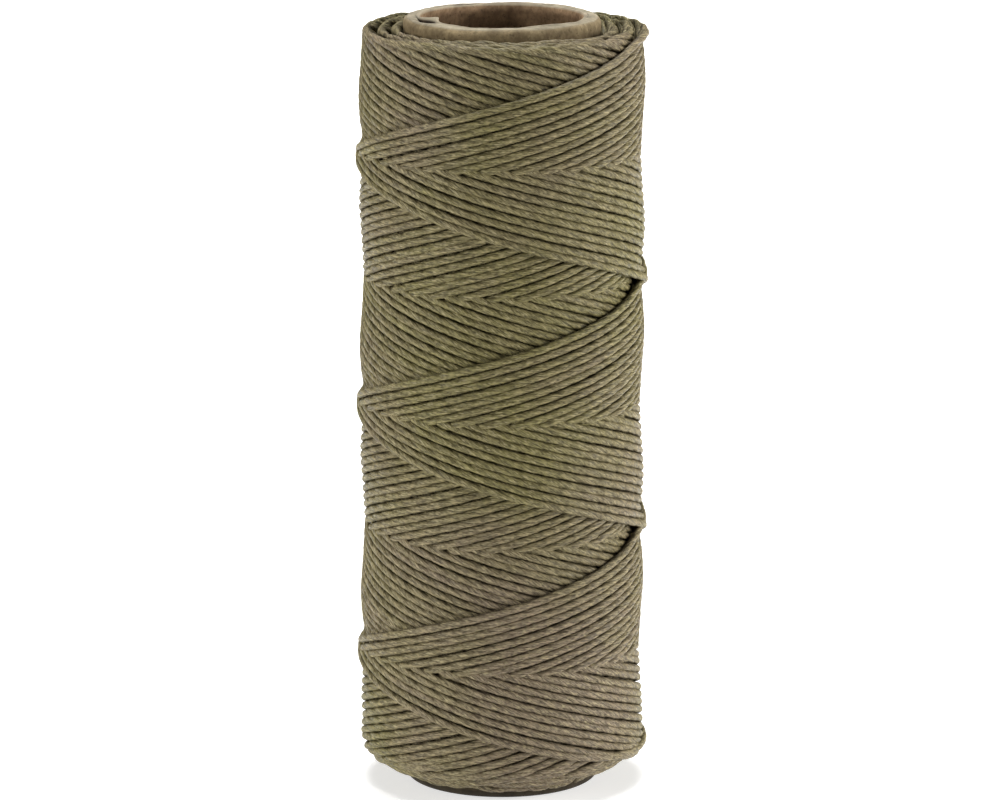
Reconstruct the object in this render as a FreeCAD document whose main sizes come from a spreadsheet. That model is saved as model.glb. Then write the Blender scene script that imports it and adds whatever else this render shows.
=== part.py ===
import FreeCAD, Part

import math
import os

import Sketcher

# A spool of waxed twine, standing on one end of its tube.
#
# The core is a spiral-wound paperboard tube: a kraft liner, grey board and a kraft wrap glued one
# on the other, cut to length and then burnished at both ends, so that the outer edge of each end
# is round. The lower end's inner edge is bevelled as well. The twine is one length, cross-wound on
# the tube. Here it is the closed solid that the winding fills: a sleeve with an almost flat top
# and a conical foot, where the turns step in towards the tube.
#
# Frame: origin at the centre of the tube's lower end, +Z up along the tube's axis. Millimetres.

DIMENSIONS = (
    ("tube_length", 95.0, "length of the paperboard tube"),
    ("bore_radius", 10.0, "radius of the hole through the tube"),
    ("tube_radius", 12.0, "outer radius of the tube"),
    ("liner_thickness", 0.4, "smooth kraft liner on the inside"),
    ("wrap_thickness", 0.4, "kraft wrap on the outside"),
    ("foot_burnish", 1.2, "rounding of the lower end's outer edge"),
    ("top_burnish", 0.9, "rounding of the upper end's outer edge"),
    ("foot_bevel", 0.5, "bevel of the lower end's inner edge"),
    ("winding_radius", 17.5, "outer radius of the wound twine"),
    ("winding_bottom", 0.95, "height of the lowest turn above the lower end"),
    ("winding_top", 93.7, "height of the top turns above the lower end"),
    ("cone_height", 3.45, "height of the winding's conical foot"),
    ("cone_lip", 0.6, "width of the winding's flat underside beside the tube"),
    ("shoulder_round", 0.6, "rounding of the winding's top shoulder"),
)
PLIES = (  # each with its outer radius, from the bore outwards
    ("core_liner_ply", "sizes.bore_radius + sizes.liner_thickness"),
    ("core_board_ply", "sizes.tube_radius - sizes.wrap_thickness"),
    ("core_wrap_ply", "sizes.tube_radius"),
)
LARGEST_VOLUME_ERROR = 0.001
SAME_PLACE = 1e-6


def make_sheet(doc):
    """Puts the driving dimensions in a spreadsheet, each with its name as the cell's alias."""
    sheet = doc.addObject("Spreadsheet::Sheet", "sizes")
    for row, (alias, value, meaning) in enumerate(DIMENSIONS, start=1):
        sheet.set(f"A{row}", alias)
        sheet.set(f"B{row}", str(value))
        sheet.set(f"C{row}", meaning)
        sheet.setAlias(f"B{row}", alias)
    doc.recompute()
    return sheet


def cylinder(doc, name, radius):
    """A cylinder on the spool's axis, as long as the tube. Its radius is an expression."""
    solid = doc.addObject("Part::Cylinder", name)
    solid.setExpression("Radius", radius)
    solid.setExpression("Height", "sizes.tube_length")
    return solid


def sleeve(doc, name, inner, outer):
    """The space between two cylinders on the spool's axis."""
    shell = doc.addObject("Part::Cut", name)
    shell.Base = cylinder(doc, name + "_outside", outer)
    shell.Tool = cylinder(doc, name + "_inside", inner)
    return shell


def ring_edge(shape, radius, height):
    """The number of the circular edge of that radius at that height."""
    for number, edge in enumerate(shape.Edges, start=1):
        if not isinstance(edge.Curve, Part.Circle):
            continue
        off_radius = abs(edge.Curve.Radius - radius)
        off_height = abs(edge.Curve.Center.z - height)
        if max(off_radius, off_height) < SAME_PLACE:
            return number
    raise ValueError(f"no edge of radius {radius} at height {height}")


def make_tube_blank(doc, sheet):
    """The whole tube, cut to length, burnished round at both ends and bevelled inside the foot."""
    cut = sleeve(doc, "tube_cut_to_length", "sizes.bore_radius", "sizes.tube_radius")
    doc.recompute()
    foot = ring_edge(cut.Shape, sheet.tube_radius, 0.0)
    rim = ring_edge(cut.Shape, sheet.tube_radius, sheet.tube_length)
    burnished = doc.addObject("Part::Fillet", "tube_burnished")
    burnished.Base = cut
    burnished.Edges = [
        (foot, sheet.foot_burnish, sheet.foot_burnish),
        (rim, sheet.top_burnish, sheet.top_burnish),
    ]
    doc.recompute()
    mouth = ring_edge(burnished.Shape, sheet.bore_radius, 0.0)
    bevelled = doc.addObject("Part::Chamfer", "tube_bevelled")
    bevelled.Base = burnished
    bevelled.Edges = [(mouth, sheet.foot_bevel, sheet.foot_bevel)]
    return bevelled


def make_plies(doc, blank):
    """Each ply is the part of the finished tube that lies between that ply's two faces."""
    plies = []
    inner = "sizes.bore_radius"
    for label, outer in PLIES:
        ply = doc.addObject("Part::Common", label)
        ply.Base = blank
        ply.Tool = sleeve(doc, label + "_layer", inner, outer)
        ply.Label = label
        plies.append(ply)
        inner = outer
    return plies


def own_plane(body, role):
    """One of the body's own origin planes."""
    return next(feature for feature in body.Origin.OriginFeatures if feature.Role == role)


def draw_half_section(body, sheet):
    """The winding's half section: radius across, height up, all sizes bound to the sheet."""
    sketch = body.newObject("Sketcher::SketchObject", "half_section")
    sketch.AttachmentSupport = [(own_plane(body, "XZ_Plane"), "")]
    sketch.MapMode = "FlatFace"
    foot = sheet.winding_bottom
    section = (
        (sheet.tube_radius, foot),
        (sheet.tube_radius + sheet.cone_lip, foot),
        (sheet.winding_radius, foot + sheet.cone_height),
        (sheet.winding_radius, sheet.winding_top),
        (sheet.tube_radius, sheet.winding_top),
    )
    corners = [FreeCAD.Vector(radius, height, 0) for radius, height in section]
    count = len(corners)
    for start in range(count):
        end = (start + 1) % count
        sketch.addGeometry(Part.LineSegment(corners[start], corners[end]), False)
    for line in range(count):
        sketch.addConstraint(Sketcher.Constraint("Coincident", line, 2, (line + 1) % count, 1))
    underside, cone, side, top, inside = range(count)
    for direction, line in (
        ("Horizontal", underside),
        ("Horizontal", top),
        ("Vertical", side),
        ("Vertical", inside),
    ):
        sketch.addConstraint(Sketcher.Constraint(direction, line))
    measures = (
        ("inner_radius", "DistanceX", underside, "sizes.tube_radius"),
        ("lip_radius", "DistanceX", cone, "sizes.tube_radius + sizes.cone_lip"),
        ("outer_radius", "DistanceX", side, "sizes.winding_radius"),
        ("foot_height", "DistanceY", underside, "sizes.winding_bottom"),
        ("cone_top", "DistanceY", side, "sizes.winding_bottom + sizes.cone_height"),
        ("top_height", "DistanceY", top, "sizes.winding_top"),
    )
    for name, kind, line, expression in measures:
        start = corners[line]
        value = start.x if kind == "DistanceX" else start.y
        index = sketch.addConstraint(Sketcher.Constraint(kind, -1, 1, line, 1, value))
        sketch.renameConstraint(index, name)
        sketch.setExpression("Constraints." + name, expression)
    return sketch


def make_winding(doc, sheet):
    """The sleeve that the twine fills, turned from its half section about the tube's axis."""
    body = doc.addObject("PartDesign::Body", "twine_winding")
    body.Label = "twine_winding"
    sketch = draw_half_section(body, sheet)
    turned = body.newObject("PartDesign::Revolution", "turned_section")
    turned.Profile = sketch
    turned.ReferenceAxis = (sketch, ["V_Axis"])
    turned.Angle = 360.0
    doc.recompute()
    edge = ring_edge(turned.Shape, sheet.winding_radius, sheet.winding_top)
    shoulder = body.newObject("PartDesign::Fillet", "shoulder")
    shoulder.Base = (turned, [f"Edge{edge}"])
    shoulder.setExpression("Radius", "sizes.shoulder_round")
    body.Tip = shoulder
    return body


def check_document(doc):
    """Stops if any object of the document failed to build."""
    for item in doc.Objects:
        if "Invalid" in item.State or "Error" in item.State:
            raise RuntimeError(f"{item.Name} is {item.State}")


def check_volumes(blank, plies, sheet, winding):
    """The plies fill the tube exactly, and the winding holds what its half section says."""
    plies_volume = sum(ply.Shape.Volume for ply in plies)
    if abs(plies_volume / blank.Shape.Volume - 1) > LARGEST_VOLUME_ERROR:
        raise RuntimeError(f"the plies hold {plies_volume} mm3, the tube {blank.Shape.Volume} mm3")
    wall = math.pi * (sheet.winding_radius**2 - sheet.tube_radius**2)
    straight = wall * (sheet.winding_top - sheet.winding_bottom)
    share = winding.Shape.Volume / straight
    print(f"tube {plies_volume:.0f} mm3, winding {winding.Shape.Volume:.0f} mm3")
    print(f"the winding fills {share:.3f} of a straight sleeve")
    if not 0.9 < share < 1:
        raise RuntimeError("the winding's cone or shoulder is wrong")


def write_parts(nodes):
    """Writes each sub-part, checked, to a STEP file with the node's name."""
    os.makedirs("parts", exist_ok=True)
    for node in nodes:
        shape = node.Shape
        if shape.isNull() or not shape.isValid() or len(shape.Solids) != 1:
            raise RuntimeError(f"{node.Label} is not one valid solid")
        shape.exportStep(f"parts/{node.Label}.step")
        print(f"{node.Label}: {shape.Volume:.0f} mm3")


def main():
    doc = FreeCAD.newDocument("twine_spool")
    sheet = make_sheet(doc)
    blank = make_tube_blank(doc, sheet)
    plies = make_plies(doc, blank)
    winding = make_winding(doc, sheet)
    doc.recompute()
    check_document(doc)
    check_volumes(blank, plies, sheet, winding)
    write_parts(plies + [winding])


main()
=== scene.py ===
"""A spool of waxed twine: one length of twine, cross-wound on a paperboard tube."""

import math

import bpy
import numpy as np
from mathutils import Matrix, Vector


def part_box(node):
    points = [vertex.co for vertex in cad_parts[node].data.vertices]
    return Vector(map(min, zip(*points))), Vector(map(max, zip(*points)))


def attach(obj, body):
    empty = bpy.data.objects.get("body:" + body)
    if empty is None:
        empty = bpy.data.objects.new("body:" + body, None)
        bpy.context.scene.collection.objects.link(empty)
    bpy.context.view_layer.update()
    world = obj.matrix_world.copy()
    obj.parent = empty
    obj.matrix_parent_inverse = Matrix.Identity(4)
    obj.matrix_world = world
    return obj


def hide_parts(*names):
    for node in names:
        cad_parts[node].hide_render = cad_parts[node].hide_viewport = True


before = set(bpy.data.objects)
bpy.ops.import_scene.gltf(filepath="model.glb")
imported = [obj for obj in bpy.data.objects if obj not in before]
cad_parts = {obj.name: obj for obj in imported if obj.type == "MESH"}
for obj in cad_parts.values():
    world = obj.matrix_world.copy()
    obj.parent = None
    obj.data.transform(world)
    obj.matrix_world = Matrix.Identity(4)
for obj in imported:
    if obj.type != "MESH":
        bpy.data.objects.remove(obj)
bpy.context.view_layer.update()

MM = 0.001
TAU = 2 * math.pi

# The tube and the winding, from the frame.
TUBE_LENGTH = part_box("core_liner_ply")[1].z
LINER_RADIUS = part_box("core_liner_ply")[1].x
BOARD_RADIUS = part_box("core_board_ply")[1].x
TUBE_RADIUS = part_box("core_wrap_ply")[1].x
BORE_RADIUS = 10.0 * MM
FOOT_BURNISH = 1.2 * MM
TOP_BURNISH = 0.9 * MM
FOOT_BEVEL = 0.5 * MM

# The twine.
TWINE_THICKNESS = 0.92 * MM  # wound twine is pressed a little flat
TWINE_WIDTH = 1.02 * MM
TWIST_LENGTH = 8.6 * MM  # along the twine for one whole turn of its three plies
PLY_SECTION = (0.90, 0.985, 1.0, 0.985)  # from one valley between plies to the next
RING = 3 * len(PLY_SECTION)

# The winder: it lays the twine up and down the tube in steps of one pitch round the spool.
TURNS_UP_AND_DOWN = 6 - 1 / 29.6
ADVANCE = 6 - TURNS_UP_AND_DOWN  # in turns, how far each stroke ends behind the one before
LOOSENESS = 0.18  # how unevenly the turns at the top are rounded
STROKES = 86  # times up and down
TAIL_TURNS = 0.36  # the end of the twine, behind the spool
TOP_APEX = 93.69 * MM  # where up and down meet, before the turn is rounded
BOTTOM_APEX = (1.05 * MM, 1.87 * MM)  # innermost and outermost strokes
TOP_ROUNDING = 0.035  # in turns of the spool, each side of the apex
BOTTOM_ROUNDING = (0.04, 0.184)
LAST_TURN_ANGLE = math.radians(-10.8)  # where the last stroke turns at the bottom
SLIDE = 0.55  # some turns slide down the foot's slope before they hold
GOLDEN = 0.618  # spreads the slides evenly over the turns
MISPLACED = 0.02 * MM  # how far a stroke may lie from its even place
WOBBLES = ((0.045, 0.37, 0.3), (0.04, 0.91, 1.9), (0.03, 2.3, 4.0), (0.02, 5.1, 2.2))
PILE_LIMIT = 0.27 * MM  # how far a crossing may rise above the turns of the stroke before
SHINGLE = 0.11 * MM  # how much further out each new turn lies where turns overlap at the foot
SHINGLE_TOP = 8.0 * MM  # above this no turn lies shingled
SHINGLE_FADE = 3.0 * MM  # and just below it they are only partly so
FOOT_SHOULDER = 4.4 * MM  # below this the winding's foot slopes inwards
FOOT_SLOPE = 0.7  # how far in for each unit of height
SAMPLES_ROUND = 360
CONTROL_EVERY = 2  # samples to one control point of the twine's line
HIDDEN_RINGS_EVERY = 6
HIDDEN_DEPTH = 0.2 * MM  # a twine is hidden where later turns cover it by more than this
ALWAYS_SHOWN = (5.5 * MM, 3 * MM)  # stretches at the foot and at the top that keep all rings

# The tube's paper plies.
AROUND = 288  # steps round the tube
LINER_RIM, BOARD_RIM = 2 * MM, 1.5 * MM  # how far down from the rim its unevenness reaches
RIM_RINGS = (24, 20, 16.5, 13.5, 11, 9, 7, 5.5, 4, 3, 2, 1.2)  # rings of vertices, mm down
RING_GAP = 0.2 * MM  # the least from the highest of them to the burnished edge
LIFT = 1.5 * MM  # the liner has come loose from the board at one place on the rim
LIFT_ANGLE = math.radians(204)
LIFT_REACH = math.radians(19)
LIFT_DEPTH = 8 * MM
LIP_RISE = 0.2  # how much the loose liner rises, and the board beside it sinks, for its lift
BOARD_DENT = 0.28

# Colours, linear.
OLIVE = (0.152, 0.135, 0.057, 1)
TAUPE = (0.166, 0.132, 0.088, 1)
# pale colour painted on the twine as glints off the wax and fibres
PAINTED_GLINT = (0.46, 0.40, 0.23, 1)
GREY_PATCH = (3 * MM, -17 * MM, 20 * MM)  # the middle of a greyer stretch of the winding
LINER_PALE, LINER_DARK = (0.32, 0.21, 0.12, 1), (0.13, 0.08, 0.043, 1)
BOARD_PALE, BOARD_DARK = (0.33, 0.285, 0.20, 1), (0.17, 0.14, 0.092, 1)
WRAP_PALE, WRAP_DARK = (0.265, 0.205, 0.115, 1), (0.135, 0.10, 0.055, 1)
WORN = (0.42, 0.37, 0.27, 1)  # paper rubbed at the rim
WARM = (1.0, 0.97, 0.90)
SKY = (0.9, 0.95, 1.0, 1)
SKY_STRENGTH = 0.08

FLOOR_RADIUS = 2.4
FLOOR_GLOW = 0.6  # the floor glows like a light table

CAMERA_DISTANCE = 730 * MM
CAMERA_HEIGHT = 202.7 * MM
CAMERA_TILT = math.radians(12.01)
CAMERA_LENS = 219.1
CAMERA_ASIDE = -0.25 * MM


def make_camera():
    """The camera looks along +Y and a little down, from far away through a long lens."""
    data = bpy.data.cameras.new("camera")
    data.lens = CAMERA_LENS
    data.sensor_width = 36.0
    data.clip_start = 0.01
    camera = bpy.data.objects.new("camera", data)
    camera.location = (CAMERA_ASIDE, -CAMERA_DISTANCE, CAMERA_HEIGHT)
    camera.rotation_euler = (math.pi / 2 - CAMERA_TILT, 0, 0)
    bpy.context.scene.collection.objects.link(camera)
    bpy.context.scene.camera = camera


def between(pair, share):
    """The value at a share of the way from the pair's first to its second."""
    return pair[0] + (pair[1] - pair[0]) * share


def twine_height(turns, seed=11):
    """The twine's height on the spool after so many turns, with its turns at the ends rounded."""
    half = TURNS_UP_AND_DOWN / 2
    total = STROKES * TURNS_UP_AND_DOWN
    share = np.clip(turns / total, 0, 1)
    nearest = np.rint(turns / half).astype(int)
    at_top = nearest % 2 == 1
    bottom = between(BOTTOM_APEX, share)
    pitch = (TOP_APEX - bottom) / half
    away = np.abs(turns - nearest * half)
    rng = np.random.default_rng(seed)
    looseness = np.clip(rng.normal(1, LOOSENESS, nearest.max() + 2), 0.6, 1.5)
    last = 2 * STROKES
    slid = 1 - SLIDE * ((last - nearest) / 2 * GOLDEN % 1)
    rounding = np.where(
        at_top, TOP_ROUNDING * looseness[nearest], between(BOTTOM_ROUNDING, share) * slid
    )
    from_apex = np.where(away < rounding, rounding / 2 + away**2 / (2 * rounding), away) * pitch
    height = np.where(at_top, TOP_APEX - from_apex, bottom + from_apex)
    places = rng.normal(0, MISPLACED, nearest.max() + 2)
    height = height + np.interp(turns / half, np.arange(len(places)), places)
    for size, rate, phase in WOBBLES:
        height = height + size * MM * np.sin(TAU * rate * turns + phase)
    return height


class Surface:
    """The radius of what is wound so far, on a grid over the spool's height and angle."""

    CELL = 0.125 * MM
    REACH = np.array([-0.3, -0.15, 0, 0.15, 0.3]) * MM  # where a twine finds its support
    SPREAD = np.arange(-0.42, 0.421, 0.105) * MM  # where its own top counts

    def __init__(self):
        rows = int(TUBE_LENGTH / self.CELL) + 8
        self.radius = np.full((rows, SAMPLES_ROUND), TUBE_RADIUS)

    def rows_at(self, height):
        return np.clip(np.rint(height / self.CELL).astype(int), 0, len(self.radius) - 1)

    def under(self, column, height):
        """The radius of the highest thing under a twine that lies there."""
        found = [self.radius[self.rows_at(height + aside), column] for aside in self.REACH]
        return np.max(found, axis=0)

    def add(self, column, height, radius):
        """Adds the top of a twine whose centre runs there."""
        for aside in self.SPREAD:
            top = radius + TWINE_THICKNESS / 2 * math.sqrt(1 - (aside / (TWINE_WIDTH / 2)) ** 2)
            rows = self.rows_at(height + aside)
            self.radius[rows, column] = np.maximum(self.radius[rows, column], top)


def pulled_tight(support, distance, curve_radius):
    """The line of a tight string round a drum, which may not go below its support."""
    lifted = support - distance**2 / (2 * curve_radius)
    kept = []
    for i in range(len(lifted)):
        while len(kept) > 1:
            a, b = kept[-2], kept[-1]
            if (lifted[b] - lifted[a]) * (i - a) > (lifted[i] - lifted[a]) * (b - a):
                break
            kept.pop()
        kept.append(i)
    return np.interp(distance, distance[kept], lifted[kept]) + distance**2 / (2 * curve_radius)


def pile_limit(turns, height):
    """How far the twine may rise above the turns of the stroke before, along a stroke."""
    half = TURNS_UP_AND_DOWN / 2
    nearest = np.rint(turns / half)
    later = (turns - nearest * half) / ADVANCE
    near_foot = np.clip((SHINGLE_TOP - height) / SHINGLE_FADE, 0, 1)
    shingle = SHINGLE * np.clip(later, -2, 4) * near_foot
    return PILE_LIMIT + shingle - FOOT_SLOPE * np.clip(FOOT_SHOULDER - height, 0, None)


def wind():
    """Lays the twine. Returns the surface it leaves, and the twine's angles, heights and radii."""
    surface = Surface()
    half = TURNS_UP_AND_DOWN / 2 * SAMPLES_ROUND
    sample = np.arange(int((STROKES * TURNS_UP_AND_DOWN + TAIL_TURNS) * SAMPLES_ROUND))
    turns = sample / SAMPLES_ROUND
    height = twine_height(turns)
    column = sample % SAMPLES_ROUND
    angle = LAST_TURN_ANGLE + TAU * (turns - STROKES * TURNS_UP_AND_DOWN)
    radius = np.full(len(sample), TUBE_RADIUS + TWINE_THICKNESS / 2)
    limit = pile_limit(turns, height)
    level = radius[0]
    for way in range(2 * STROKES + 1):
        run = np.arange(math.ceil(way * half), min(math.ceil((way + 1) * half), len(sample)))
        support = surface.under(column[run], height[run]) + TWINE_THICKNESS / 2
        support = np.clip(support, None, np.maximum(level + limit[run], radius[0]))
        if way:
            support[0] = radius[run[0] - 1]
        distance = np.arange(len(run)) * TAU * level / SAMPLES_ROUND
        radius[run] = pulled_tight(support, distance, level)
        surface.add(column[run], height[run], radius[run])
        middle = np.abs(height[run] - TUBE_LENGTH / 2) < TUBE_LENGTH / 3
        if middle.any():
            level = float(radius[run][middle].mean())
    return surface, angle, height, radius


def smoothed(values, width=1.4):
    """The values after a narrow Gaussian filter, width in samples."""
    reach = int(4 * width)
    kernel = np.exp(-0.5 * (np.arange(-reach, reach + 1) / width) ** 2)
    padded = np.pad(values, reach, mode="edge")
    return np.convolve(padded, kernel / kernel.sum(), mode="valid")


def find_shown(surface, height, radius):
    """True for each sample where the twine isn't wholly under later turns."""
    column = np.arange(len(height)) % SAMPLES_ROUND
    over = [
        surface.radius[surface.rows_at(height + aside), column]
        for aside in (-0.35 * MM, 0, 0.35 * MM)
    ]
    shown = np.min(over, axis=0) - (radius + TWINE_THICKNESS / 2) < HIDDEN_DEPTH
    shown |= (height < ALWAYS_SHOWN[0]) | (height > TOP_APEX - ALWAYS_SHOWN[1])
    near = np.convolve(shown, np.ones(13), mode="same")
    return near > 0


def nurbs_line(points):
    """The points of a NURBS spline that has these control points, read from the spline."""
    curve = bpy.data.curves.new("line", "CURVE")
    curve.dimensions = "3D"
    curve.resolution_u = 1
    spline = curve.splines.new("NURBS")
    spline.points.add(len(points) - 1)
    spline.points.foreach_set("co", np.column_stack([points, np.ones(len(points))]).ravel())
    spline.order_u = 3
    spline.use_endpoint_u = True
    spline.resolution_u = 1
    holder = bpy.data.objects.new("line", curve)
    bpy.context.scene.collection.objects.link(holder)
    mesh = bpy.data.meshes.new_from_object(holder)
    line = np.empty(3 * len(mesh.vertices))
    mesh.vertices.foreach_get("co", line)
    bpy.data.objects.remove(holder)
    bpy.data.curves.remove(curve)
    bpy.data.meshes.remove(mesh)
    return line.reshape(-1, 3)


def unit(vectors):
    return vectors / np.linalg.norm(vectors, axis=1, keepdims=True)


def mesh_object(name, vertices, quads, uvs, ends=()):
    """A smooth mesh object. uvs has one pair for each corner of each quad."""
    mesh = bpy.data.meshes.new(name)
    quads = np.asarray(quads)
    corners = np.concatenate([quads.ravel(), *ends]).astype(np.int32)
    sizes = np.array([4] * len(quads) + [len(end) for end in ends])
    mesh.vertices.add(len(vertices))
    mesh.vertices.foreach_set("co", np.asarray(vertices, dtype=np.float32).ravel())
    mesh.loops.add(len(corners))
    mesh.loops.foreach_set("vertex_index", corners)
    mesh.polygons.add(len(sizes))
    starts = np.concatenate([[0], np.cumsum(sizes)[:-1]]).astype(np.int32)
    mesh.polygons.foreach_set("loop_start", starts)
    mesh.update(calc_edges=True)
    flat = np.zeros((len(corners), 2), dtype=np.float32)
    flat[: 4 * len(quads)] = np.asarray(uvs).reshape(-1, 2)
    mesh.uv_layers.new(name="UVMap").data.foreach_set("uv", flat.ravel())
    mesh.polygons.foreach_set("use_smooth", np.ones(len(sizes), dtype=bool))
    mesh.update()
    item = bpy.data.objects.new(name, mesh)
    bpy.context.scene.collection.objects.link(item)
    return item


def twisted_tube(name, line, rings):
    """Three twisted plies as one skin along the line, with a ring of vertices at some points."""
    along = unit(np.gradient(line, axis=0))[rings]
    step = np.linalg.norm(np.diff(line, axis=0), axis=1)
    distance = np.concatenate([[0], np.cumsum(step)])[rings]
    centre = line[rings]
    out = centre * (1, 1, 0)
    out = unit(out - along * np.sum(out * along, axis=1, keepdims=True))
    across = np.cross(out, along)
    turn = TAU * distance[:, None] / TWIST_LENGTH + TAU * np.arange(RING) / RING
    size = np.tile(PLY_SECTION, 3)
    wide = (size * np.cos(turn))[:, :, None] * across[:, None] * TWINE_WIDTH / 2
    thick = (size * np.sin(turn))[:, :, None] * out[:, None] * TWINE_THICKNESS / 2
    vertices = (centre[:, None] + wide + thick).reshape(-1, 3)
    ring = np.arange(len(rings) - 1)[:, None] * RING
    side = np.arange(RING)
    beside = (side + 1) % RING
    quads = np.stack([ring + side, ring + beside, ring + RING + beside, ring + RING + side], axis=2)
    low = np.repeat((distance[:-1] / MM)[:, None], RING, axis=1)
    high = np.repeat((distance[1:] / MM)[:, None], RING, axis=1)
    left = np.broadcast_to(side / RING, low.shape)
    right = left + 1 / RING
    uvs = np.stack([low, left, low, right, high, right, high, left], axis=2)
    first = np.arange(RING)[::-1]
    last = (len(rings) - 1) * RING + np.arange(RING)
    return mesh_object(name, vertices, quads.reshape(-1, 4), uvs, (first, last))


def make_twine():
    """The twine as one mesh that follows its wound line, finest where it can be seen."""
    surface, angle, height, radius = wind()
    shown = find_shown(surface, height, radius)
    radius = smoothed(radius)
    points = np.column_stack([radius * np.cos(angle), radius * np.sin(angle), height])
    line = nurbs_line(points[::CONTROL_EVERY])
    sample = np.linspace(0, len(shown) - 1, len(line)).astype(int)
    keep = shown[sample] | (np.arange(len(line)) % HIDDEN_RINGS_EVERY == 0)
    keep[-1] = True
    twine = twisted_tube("twine", line, np.flatnonzero(keep))
    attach(twine, "root")
    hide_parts("twine_winding")
    length = np.linalg.norm(np.diff(line, axis=0), axis=1).sum()
    print(f"twine: {length:.2f} m, {len(line)} points, {keep.sum()} rings")
    return twine


def liner_lift(angle, height):
    """How far the liner has come loose from the board, near the rim, at one side."""
    off = (angle - LIFT_ANGLE + math.pi) % TAU - math.pi
    share = np.clip(np.abs(off) / LIFT_REACH, 0, 1)
    depth = (TUBE_LENGTH - height) / LIFT_DEPTH
    return LIFT * np.cos(share * math.pi / 2) ** 1.5 * np.exp(-(depth**2))


def uneven(angle, seed, size, waves=(3, 5, 8, 13, 21, 34)):
    """A small unevenness round the tube, the same where the circle closes."""
    rng = np.random.default_rng(seed)
    total = sum(
        rng.normal() / math.sqrt(count) * np.cos(count * angle + rng.uniform(0, TAU))
        for count in waves
    )
    return size * total


def ply(name, profile, shape):
    """A closed ring of paper: its half section turned round the axis, then shaped."""
    profile = np.array(profile)
    angle = np.arange(AROUND) * TAU / AROUND
    radius = np.repeat(profile[None, :, 0], AROUND, axis=0)
    height = np.repeat(profile[None, :, 1], AROUND, axis=0)
    turn = np.repeat(angle[:, None], len(profile), axis=1)
    radius, height = shape(turn, radius, height)
    vertices = np.stack([radius * np.cos(turn), radius * np.sin(turn), height], axis=2)
    count = len(profile)
    around = np.arange(AROUND)[:, None] * count
    beside = (np.arange(AROUND)[:, None] + 1) % AROUND * count
    here = np.arange(count)
    after = (here + 1) % count
    quads = np.stack([around + here, around + after, beside + after, beside + here], axis=2)
    path = np.linalg.norm(np.diff(np.vstack([profile, profile[:1]]), axis=0), axis=1)
    run = np.concatenate([[0], np.cumsum(path)]) / MM
    low, high = (np.broadcast_to(part, (AROUND, count)) for part in (run[:-1], run[1:]))
    left = np.repeat((angle * TUBE_RADIUS / MM)[:, None], count, axis=1)
    right = left + TAU * TUBE_RADIUS / AROUND / MM
    uvs = np.stack([left, low, left, high, right, high, right, low], axis=2)
    quads = quads.reshape(-1, 4)[:, ::-1]
    uvs = uvs.reshape(-1, 4, 2)[:, ::-1]
    return mesh_object(name, vertices.reshape(-1, 3), quads, uvs)


def top_of(radius):
    """The height of the tube's burnished upper end at a radius."""
    over = max(radius - (TUBE_RADIUS - TOP_BURNISH), 0)
    return TUBE_LENGTH - TOP_BURNISH + math.sqrt(max(TOP_BURNISH**2 - over**2, 0))


def foot_of(radius):
    """The height of the tube's burnished and bevelled lower end at a radius."""
    over = max(radius - (TUBE_RADIUS - FOOT_BURNISH), 0)
    inside = max(BORE_RADIUS + FOOT_BEVEL - radius, 0)
    return FOOT_BURNISH - math.sqrt(max(FOOT_BURNISH**2 - over**2, 0)) + inside


def layer(inner, outer):
    """The half section of a ply between two radii, outer side up, inner side down."""
    across = np.linspace(outer, inner, 9)
    top = [(radius, top_of(radius)) for radius in across]
    foot = [(radius, foot_of(radius)) for radius in across[::-1]]
    upper = [TUBE_LENGTH - depth * MM for depth in RIM_RINGS]
    up = [z for z in [20 * MM, 40 * MM, 60 * MM] + upper if z > foot[-1][1]]
    side_out = [(outer, z) for z in up if z < top[0][1] - RING_GAP]
    side_in = [(inner, z) for z in up[::-1] if z < top[-1][1] - RING_GAP]
    return foot + side_out + top + side_in


def near_rim(height, reach):
    """1 at the rim, falling to nothing below it."""
    return np.exp(-(((TUBE_LENGTH - height) / reach) ** 2))


def shape_liner(angle, radius, height):
    rim = near_rim(height, LINER_RIM)
    radius = radius - liner_lift(angle, height) + rim * uneven(angle, 5, 0.05 * MM)
    height = height + rim * (uneven(angle, 6, 0.08 * MM) + LIP_RISE * liner_lift(angle, height))
    return radius, height


def shape_board(angle, radius, height):
    rim = near_rim(height, BOARD_RIM)
    wave = uneven(angle, 7, 0.07 * MM) + uneven(angle + radius * 90, 9, 0.05 * MM)
    inner = np.clip((BOARD_RADIUS - radius) / (BOARD_RADIUS - LINER_RADIUS), 0, 1)
    return radius, height + rim * (wave - BOARD_DENT * inner * liner_lift(angle, height))


def shape_wrap(angle, radius, height):
    rim = near_rim(height, BOARD_RIM)
    radius = radius + rim * uneven(angle, 12, 0.04 * MM)
    return radius, height + rim * uneven(angle, 8, 0.07 * MM)


def make_core():
    """The tube's three layers of paper, bonded together."""
    pieces = {}
    for name, inner, outer, shape in (
        ("core_liner", BORE_RADIUS, LINER_RADIUS, shape_liner),
        ("core_board", LINER_RADIUS, BOARD_RADIUS, shape_board),
        ("core_wrap", BOARD_RADIUS, TUBE_RADIUS, shape_wrap),
    ):
        piece = ply(name, layer(inner, outer), shape)
        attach(piece, "root")
        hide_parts(name + "_ply")
        pieces[name] = piece
    return pieces


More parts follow.
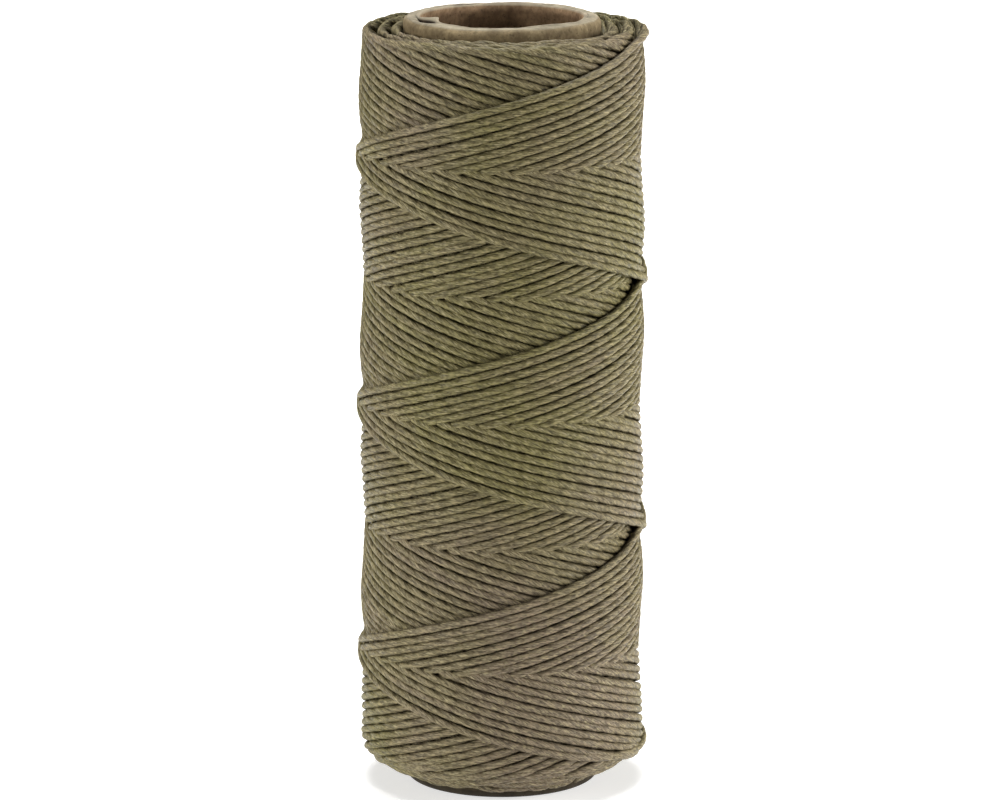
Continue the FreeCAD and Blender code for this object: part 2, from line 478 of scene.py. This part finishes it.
class Shader:
    """A material's node tree, with short ways to add nodes."""

    def __init__(self, name):
        self.material = bpy.data.materials.new(name)
        self.material.use_nodes = True
        self.tree = self.material.node_tree
        self.surface = self.tree.nodes["Principled BSDF"]

    def add(self, kind, output=0, inputs=None, **settings):
        """Adds a node and returns one of its outputs. Inputs are sockets or plain values."""
        node = self.tree.nodes.new("ShaderNode" + kind)
        for key, value in settings.items():
            setattr(node, key, value)
        for key, value in (inputs or {}).items():
            self.put(node.inputs[key], value)
        return node.outputs[output]

    def put(self, socket, value):
        if isinstance(value, bpy.types.NodeSocket):
            self.tree.links.new(value, socket)
        else:
            socket.default_value = value

    def math(self, operation, a, b=0.0):
        return self.add("Math", inputs={0: a, 1: b}, operation=operation)

    def noise(self, where, scale, detail=2.0, roughness=0.5):
        """Noise from about 0.3 to 0.7, with scale in cells per unit of where."""
        inputs = {"Vector": where, "Scale": scale, "Detail": detail, "Roughness": roughness}
        return self.add("TexNoise", "Fac", inputs)

    def spread(self, value, low, high, to_low=0.0, to_high=1.0):
        """The value moved from one range to another, and held inside it."""
        return self.add("MapRange", inputs={0: value, 1: low, 2: high, 3: to_low, 4: to_high})

    def mix(self, share, a, b):
        node = self.tree.nodes.new("ShaderNodeMix")
        node.data_type = "RGBA"
        for key, value in ((0, share), (6, a), (7, b)):
            self.put(node.inputs[key], value)
        return node.outputs[2]

    def stretched(self, where, scale):
        return self.add("Mapping", inputs={"Vector": where, "Scale": scale})

    def vector(self, operation, a, b=(0, 0, 0), output=0):
        return self.add("VectorMath", output, {0: a, 1: b}, operation=operation)

    def height(self, place):
        """The height of a place above the spool's lower end."""
        node = self.tree.nodes.new("ShaderNodeSeparateXYZ")
        self.put(node.inputs[0], place)
        return node.outputs[2]

    def facing(self, direction):
        """How much the surface faces in a direction, 1 when fully."""
        normal = self.add("NewGeometry", "Normal")
        return self.vector("DOT_PRODUCT", normal, direction, "Value")

    def scaled(self, colour, factor):
        return self.add("VectorMath", inputs={0: colour, "Scale": factor}, operation="SCALE")

    def bump(self, height, distance, strength=1.0, normal=None):
        inputs = {"Height": height, "Distance": distance, "Strength": strength}
        if normal is not None:
            inputs["Normal"] = normal
        return self.add("Bump", inputs=inputs)

    def finish(self, **inputs):
        for key, value in inputs.items():
            self.put(self.surface.inputs[key.replace("_", " ")], value)
        return self.material


def outward(shader, place):
    """The direction out of the winding: away from the axis, and along it near the ends."""
    height = shader.height(place)
    up = shader.spread(height, TUBE_LENGTH - 4 * MM, TUBE_LENGTH - 1.5 * MM)
    down = shader.spread(height, 5 * MM, 2.5 * MM)
    away = shader.vector("MULTIPLY", place, (1, 1, 0))
    axial = shader.add("CombineXYZ", inputs={2: shader.math("SUBTRACT", up, down)})
    return shader.vector("NORMALIZE", shader.vector("ADD", shader.vector("NORMALIZE", away), axial))


def twine_material():
    """Waxed twine: fibres along the twisted plies, olive and taupe patches, pale painted glints,
    and painted shade in the ply valleys and between cords.
    """
    shader = Shader("waxed_twine")
    uv = shader.add("UVMap", uv_map="UVMap")
    place = shader.add("TexCoord", "Object")
    split = shader.tree.nodes.new("ShaderNodeSeparateXYZ")
    shader.put(split.inputs[0], uv)
    along, turn = split.outputs[0], shader.math("MULTIPLY", split.outputs[1], TAU)
    cos, sin = shader.math("COSINE", turn), shader.math("SINE", turn)

    def fibres(long, fine, detail):
        """Noise drawn out along the twine: cells per mm along it, and cells to its radius."""
        where = shader.add(
            "CombineXYZ",
            inputs={
                0: shader.math("MULTIPLY", along, long),
                1: shader.math("MULTIPLY", cos, fine),
                2: shader.math("MULTIPLY", sin, fine),
            },
        )
        return shader.noise(where, 1.0, detail, 0.6)

    fine = fibres(1.7, 3.8, 2.0)
    coarse = fibres(0.8, 1.8, 2.0)
    # painted highlight: small pale glints off the wax and fibres, drawn out along the fibres
    painted_glints = shader.spread(fibres(1.3, 3.4, 1.0), 0.57, 0.70)
    lengthwise = fibres(0.021, 0.05, 2.0)

    patches = shader.noise(place, 62.0, 3.0, 0.55)
    broad = shader.noise(place, 24.0, 1.0)
    patches = shader.math("MULTIPLY", patches, 0.55)
    tone = shader.math("ADD", patches, shader.math("MULTIPLY", broad, 0.45))
    away = shader.add("VectorMath", "Value", {0: place, 1: GREY_PATCH}, operation="DISTANCE")
    tone = shader.math("ADD", tone, shader.spread(away, 6 * MM, 24 * MM, 0.22, 0.0))
    tone = shader.math("ADD", tone, shader.math("MULTIPLY", lengthwise, 0.35))
    tone = shader.spread(tone, 0.57, 0.87)
    base = shader.mix(tone, OLIVE, TAUPE)
    light = shader.spread(fine, 0.36, 0.64, 0.46, 1.66)
    light = shader.math("MULTIPLY", light, shader.spread(coarse, 0.3, 0.7, 0.78, 1.22))
    valley = shader.math("ABSOLUTE", shader.math("SINE", shader.math("MULTIPLY", turn, 1.5)))
    # painted shade: the valleys between the plies are darker
    light = shader.math("MULTIPLY", light, shader.spread(valley, 0.0, 0.4, 0.6, 1.0))
    # painted shade: darker where the surface turns away from the outside of the winding, in the
    # gaps between cords
    crevice_shade = shader.spread(shader.facing(outward(shader, place)), 0.1, 0.8, 0.45, 1.0)
    light = shader.math("MULTIPLY", light, crevice_shade)
    colour = shader.scaled(base, light)
    # painted highlight: the glints mixed into the colour
    colour = shader.mix(shader.math("MULTIPLY", painted_glints, 0.6), colour, PAINTED_GLINT)
    plies = shader.bump(valley, 0.08 * MM, 0.8)
    threads = shader.bump(fine, 0.05 * MM, 0.7, plies)
    return shader.finish(
        Base_Color=colour,
        Roughness=shader.spread(coarse, 0.3, 0.7, 0.42, 0.62),
        Specular_IOR_Level=0.2,
        Normal=threads,
    )


def darker(colour, factor):
    return tuple(part * factor for part in colour[:3]) + (1,)


def paper_material(name, pale, dark, grain, edge, shaded_side=0):
    """Paperboard: mottled, with fibres and specks, with painted shade at the foot, rubbed at the
    rim.

    edge is how much the rim is rubbed. The last argument is 1 where the ply's outer side, against
    the next ply, is painted dark as shade, -1 for its inner side, 0 for neither.
    """
    shader = Shader(name)
    place = shader.add("TexCoord", "Object")
    mottle = shader.noise(place, 420.0, 4.0, 0.65)
    fibre = shader.noise(shader.stretched(place, (1.0, 1.0, 0.7)), 2400.0 * grain, 3.0, 0.6)
    specks = shader.spread(shader.noise(place, 1900.0, 2.0, 0.7), 0.60, 0.70)
    stain = shader.noise(place, 110.0, 2.0)
    share = shader.spread(mottle, 0.33, 0.67)
    colour = shader.mix(share, dark, pale)
    light = shader.spread(fibre, 0.3, 0.7, 0.80, 1.18)
    light = shader.math("MULTIPLY", light, shader.spread(stain, 0.3, 0.7, 0.88, 1.1))
    colour = shader.scaled(colour, light)
    colour = shader.mix(shader.math("MULTIPLY", specks, 0.55), colour, darker(dark, 0.35))
    height = shader.height(place)
    # painted shade: the tube is darker near its foot, under the overhanging winding
    painted_shade = shader.spread(height, 0.9 * MM, 2.2 * MM, 0.16, 1.0)
    # painted shade: a ply's side that lies against the next ply is painted dark, so the gap where
    # the liner has come loose looks shaded
    away = shader.vector("NORMALIZE", shader.vector("MULTIPLY", place, (shaded_side, shaded_side, 0)))
    gap_shade = shader.spread(shader.facing(away), 0.3, 0.8, 1.0, 0.1)
    painted_shade = shader.math("MULTIPLY", painted_shade, gap_shade)
    colour = shader.scaled(colour, painted_shade)
    rough = shader.bump(mottle, 0.10 * MM, 0.7)
    worn = shader.spread(height, TUBE_LENGTH - 0.35 * MM, TUBE_LENGTH - 0.1 * MM, 0, edge)
    colour = shader.mix(worn, colour, shader.mix(share, darker(WORN, 0.6), WORN))
    return shader.finish(
        Base_Color=colour,
        Roughness=0.85,
        Specular_IOR_Level=0.25,
        Normal=shader.bump(fibre, 0.05 * MM, 0.6, rough),
    )


def cover(piece, material):
    piece.data.materials.append(material)


def make_floor():
    """A plain pale floor under and behind the spool, which glows faintly."""
    steps = 96
    turn = np.arange(steps) * TAU / steps
    rim = np.column_stack([np.cos(turn), np.sin(turn), np.zeros(steps)]) * FLOOR_RADIUS
    mesh = bpy.data.meshes.new("floor")
    mesh.from_pydata(rim.tolist(), [], [list(range(steps))])
    floor = bpy.data.objects.new("floor", mesh)
    bpy.context.scene.collection.objects.link(floor)
    shader = Shader("floor_paper")
    place = shader.add("TexCoord", "Object")
    grain = shader.noise(place, 900.0, 2.0)
    shade = shader.spread(grain, 0.3, 0.7, 0.60, 0.64)
    material = shader.finish(
        Base_Color=shade,
        Roughness=0.9,
        Specular_IOR_Level=0.2,
        Emission_Color=(1, 1, 1, 1),
        Emission_Strength=FLOOR_GLOW,
    )
    cover(floor, material)


def soft_box(name, place, aim, size, power, colour=(1, 1, 1), spread=180):
    """A rectangular soft light at a place, aimed at a point."""
    data = bpy.data.lights.new(name, "AREA")
    data.shape = "RECTANGLE"
    data.size, data.size_y = size
    data.energy = power
    data.color = colour
    data.spread = math.radians(spread)
    lamp = bpy.data.objects.new(name, data)
    lamp.location = place
    lamp.rotation_euler = (Vector(aim) - Vector(place)).to_track_quat("-Z", "Y").to_euler()
    bpy.context.scene.collection.objects.link(lamp)


def make_light():
    middle = (0, 0, 0.05)
    size = (0.40, 0.26)
    soft_box("left_light", (-0.54, -0.30, 0.15), middle, size, power=2.7, colour=WARM)
    soft_box("right_light", (0.61, -0.075, 0.15), middle, size, power=4.0, colour=WARM)
    behind, above = (0, 0.45, 0), (0, 0.45, 0.62)
    soft_box("floor_light", above, behind, (0.7, 0.9), power=5.5, spread=45)
    world = bpy.data.worlds.new("studio")
    world.use_nodes = True
    world.node_tree.nodes["Background"].inputs[0].default_value = SKY
    world.node_tree.nodes["Background"].inputs[1].default_value = SKY_STRENGTH
    bpy.context.scene.world = world
    bpy.context.scene.view_settings.view_transform = "Standard"


make_camera()
twine = make_twine()
core = make_core()
cover(twine, twine_material())
for name, material in (
    ("core_liner", paper_material("kraft_liner", LINER_PALE, LINER_DARK, 0.8, edge=0.8, shaded_side=1)),
    ("core_board", paper_material("grey_board", BOARD_PALE, BOARD_DARK, 1.0, edge=0.5, shaded_side=-1)),
    ("core_wrap", paper_material("kraft_wrap", WRAP_PALE, WRAP_DARK, 0.9, edge=0.3)),
):
    cover(core[name], material)
make_floor()
make_light()
